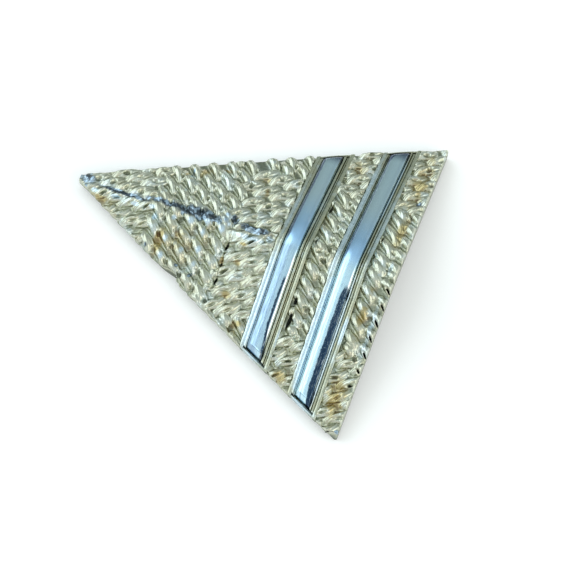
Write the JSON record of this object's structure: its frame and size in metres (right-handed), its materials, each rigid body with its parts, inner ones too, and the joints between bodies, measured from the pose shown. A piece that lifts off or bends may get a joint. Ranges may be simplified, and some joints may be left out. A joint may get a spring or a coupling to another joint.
{
  "type": "brooch",
  "caption": "Large triangular brooch folded along a ridge, with gold-tone rope relief in parquet squares, crossed by polished silver-tone half-round bars.",
  "frame": {"origin": "middle of the brooch's plan, on the table that it lies on face up", "axes": "+X along the ridge from the apex towards the base, +Y towards the upper corner, +Z out of the face, away from the table"},
  "size_m": [0.0516, 0.051, 0.0095],
  "materials": {
    "cast_gold_tone": "cast relief, pale gold plate, lightly tarnished in the recesses",
    "polished_silver_tone": "mirror polish with fine scratches",
    "pin_steel": "plated steel, satin"
  },
  "bodies": {
    "root": {"cast_shell": "cast_gold_tone", "inner_bar": "polished_silver_tone", "outer_bar": "polished_silver_tone", "bar_pin": "pin_steel"}
  },
  "joints": []
}
